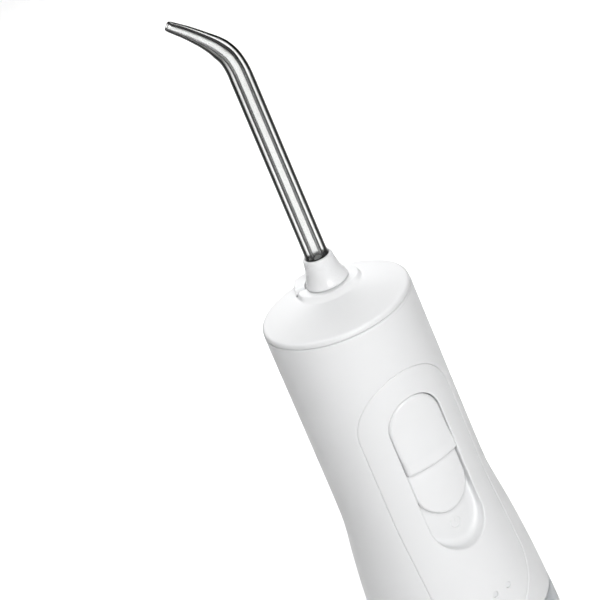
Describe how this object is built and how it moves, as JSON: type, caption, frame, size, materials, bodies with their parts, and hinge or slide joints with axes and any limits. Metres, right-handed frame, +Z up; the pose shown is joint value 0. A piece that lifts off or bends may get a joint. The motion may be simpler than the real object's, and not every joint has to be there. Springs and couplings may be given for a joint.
{
  "type": "cordless water flosser",
  "caption": "Hand-held water flosser with a bent clear nozzle, sliding thumb switch, geared piston pump and pull-off water tank.",
  "frame": {"origin": "centre of the foot's underside, on the body's axis", "axes": "+Z up the body towards the nozzle; the slide switch faces -Y, so the user's thumb is on the -Y side"},
  "size_m": [0.0562, 0.0579, 0.2869],
  "materials": {
    "housing": "satin white moulded shell",
    "cap": "satin white moulded cap",
    "collar": "smooth white collar",
    "panel": "satin white inlay",
    "switch": "smooth white slider",
    "tank": "frosted translucent plastic",
    "lid": "white plastic",
    "clear": "clear moulded plastic",
    "lens": "clear light pipe",
    "frame": "grey engineering plastic",
    "gear": "natural nylon",
    "hose": "silicone",
    "cell": "shrink wrap",
    "board": "solder mask",
    "black": "moulded black",
    "black_rubber": "nitrile rubber",
    "grey_rubber": "pale grey soft rubber",
    "steel": "bright steel",
    "dark_steel": "dark steel",
    "brass": "machined brass"
  },
  "bodies": {
    "handle": {"housing_shell": "housing", "control_panel": "panel", "control_board": "board", "tact_switch": "black", "hall_sensor": "black", "led_window_1": "lens", "led_window_2": "lens", "led_window_3": "lens", "battery_cell": "cell", "charge_port": "steel", "chassis": "frame", "motor_can": "steel", "motor_screw_1": "steel", "motor_screw_2": "steel", "gear_axle": "dark_steel", "pump_cylinder": "frame", "valve_block": "frame", "inlet_valve": "black_rubber", "outlet_valve": "black_rubber", "outlet_hose": "hose", "bulkhead": "frame", "bulkhead_screw_1": "steel", "bulkhead_screw_2": "steel", "tank_seal": "black_rubber", "upper_manifold": "frame", "top_cap": "cap", "cap_gasket": "black_rubber", "suction_tube": "hose", "suction_filter": "dark_steel", "eject_spring": "steel"},
    "swivel": {"swivel_sleeve": "frame", "swivel_o_ring": "black_rubber"},
    "nozzle": {"nozzle_tube": "clear", "nozzle_collar": "collar", "nozzle_o_ring": "black_rubber"},
    "eject_button": {"eject_button": "cap"},
    "tip_latch": {"tip_latch": "steel"},
    "slide_switch": {"slide_switch": "switch", "switch_magnet": "steel"},
    "mode_button": {"mode_button": "grey_rubber"},
    "crank": {"crown_gear": "gear"},
    "rotor": {"motor_shaft": "dark_steel", "pinion": "brass"},
    "piston": {"piston_yoke": "gear", "piston_seal": "black_rubber"},
    "tank": {"water_tank": "tank", "base_foot": "grey_rubber", "lid_hinge_pin": "steel"},
    "fill_lid": {"fill_lid": "lid", "lid_seal": "black_rubber"},
    "port_cover": {"port_cover": "grey_rubber"}
  },
  "joints": [
    {"name": "nozzle_swivel", "type": "hinge", "parent": "handle", "child": "swivel", "pos_m": [0.0046, 0.01032, 0.18], "axis": [0, 0, 1], "continuous": true},
    {"name": "nozzle_pull", "type": "slide", "parent": "swivel", "child": "nozzle", "axis": [0, 0, 1], "range_m": [0, 0.03]},
    {"name": "eject_press", "type": "slide", "parent": "handle", "child": "eject_button", "axis": [0, 0, -1], "range_m": [0, 0.001], "stiffness_N_per_m": 300, "springref_m": -0.002, "deforming": ["eject_spring"]},
    {"name": "latch_slide", "type": "slide", "parent": "handle", "child": "tip_latch", "axis": [0.4067, 0.9135, 0], "range_m": [0, 0.0011]},
    {"name": "switch_slide", "type": "slide", "parent": "handle", "child": "slide_switch", "axis": [0, 0, -1], "range_m": [0, 0.0116]},
    {"name": "mode_press", "type": "slide", "parent": "handle", "child": "mode_button", "axis": [0, 1, 0], "range_m": [0, 0.0006], "stiffness_N_per_m": 500, "springref_m": -0.001},
    {"name": "crank_spin", "type": "hinge", "parent": "handle", "child": "crank", "pos_m": [-0.008, 0.0012, 0.117], "axis": [0, 1, 0], "continuous": true},
    {"name": "motor_spin", "type": "hinge", "parent": "handle", "child": "rotor", "pos_m": [-0.008, 0.003, 0.126], "axis": [0, 0, 1], "continuous": true},
    {"name": "piston_stroke", "type": "slide", "parent": "handle", "child": "piston", "axis": [0, 0, 1], "range_m": [-0.002, 0.002]},
    {"name": "tank_release", "type": "slide", "parent": "handle", "child": "tank", "axis": [0, 0, -1], "range_m": [0, 0.09]},
    {"name": "lid_hinge", "type": "hinge", "parent": "tank", "child": "fill_lid", "pos_m": [0, 0.02828, 0.0756], "axis": [1, 0, 0], "range_deg": [0, 100]},
    {"name": "port_cover_hinge", "type": "hinge", "parent": "handle", "child": "port_cover", "pos_m": [0, 0.02584, 0.1004], "axis": [1, 0, 0], "range_deg": [0, 80]}
  ],
  "couplings": [
    {"joint": "latch_slide", "follows": "eject_press", "ratio": 1},
    {"joint": "motor_spin", "follows": "crank_spin", "ratio": 4}
  ]
}
